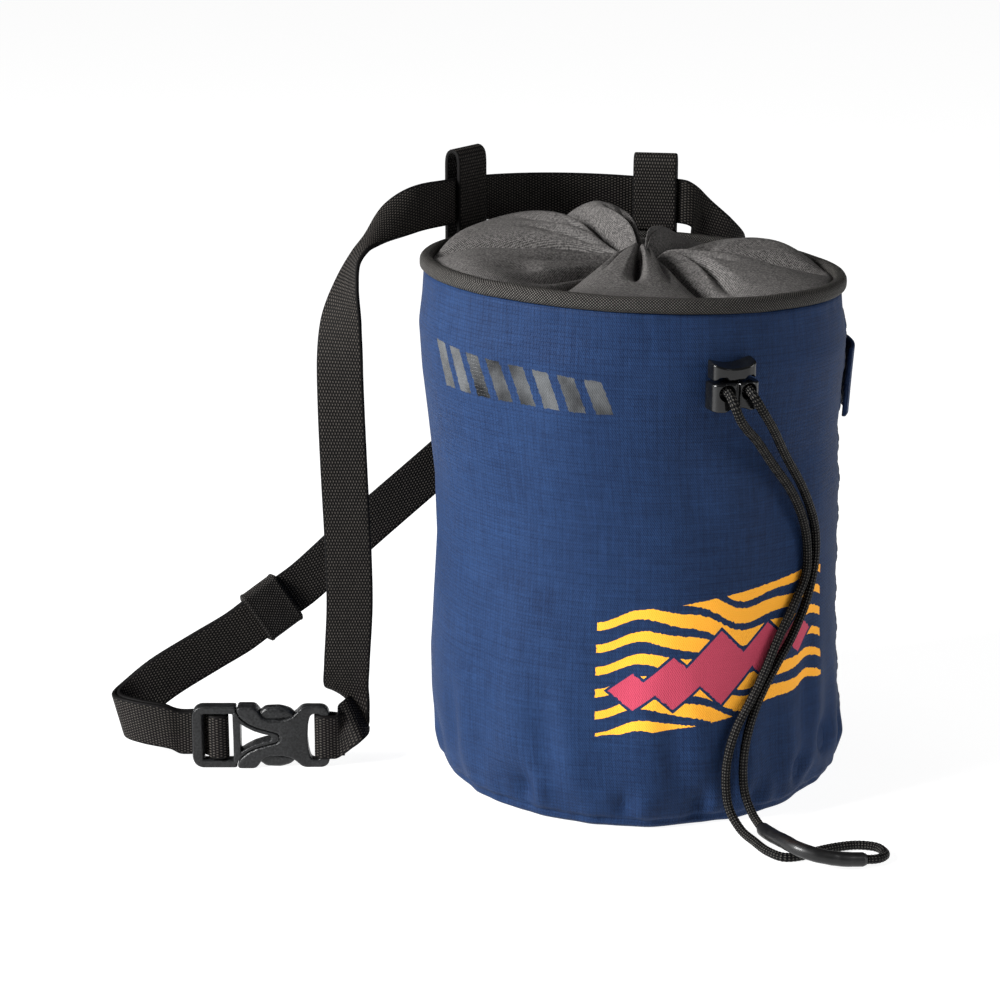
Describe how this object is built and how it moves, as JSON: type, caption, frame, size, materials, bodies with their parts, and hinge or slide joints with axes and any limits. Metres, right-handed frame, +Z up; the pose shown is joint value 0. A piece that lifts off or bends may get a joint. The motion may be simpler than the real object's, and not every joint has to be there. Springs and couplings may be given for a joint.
{
  "type": "climbing chalk bag",
  "caption": "Stiff-rimmed cylindrical cloth chalk bag with a gathered drawcord closure, cord lock, brush loop and a waist belt with a fastened side-release buckle",
  "frame": {"origin": "the middle of the bag's round bottom, on the surface that it stands on", "axes": "+Z up out of the bag's mouth, -Y out of the front where the cord lock sits, +X to the bag's own left side with the brush loop"},
  "size_m": [0.2359, 0.1974, 0.2026],
  "materials": {
    "bag_cloth": "woven, navy blue",
    "binding_tape": "twill tape, dark grey",
    "closure_cloth": "thin woven lining cloth, warm grey",
    "webbing": "ribbed webbing, black",
    "buckle_plastic": "fine-grained acetal, charcoal",
    "lock_plastic": "glossy black",
    "braided_cord": "tightly braided, black",
    "sleeve_plastic": "satin black shrink tube"
  },
  "bodies": {
    "root": {"bag_shell": "bag_cloth", "rim_binding": "binding_tape", "closure_top": "closure_cloth", "belt_loop_left": "webbing", "belt_loop_right": "webbing", "waist_belt": "webbing", "belt_keeper": "webbing", "buckle_female": "buckle_plastic", "buckle_male": "buckle_plastic", "cord_lock_body": "lock_plastic", "cord_lock_button": "lock_plastic", "draw_cord": "braided_cord", "cord_sleeve": "sleeve_plastic", "brush_loop": "bag_cloth"}
  },
  "joints": []
}
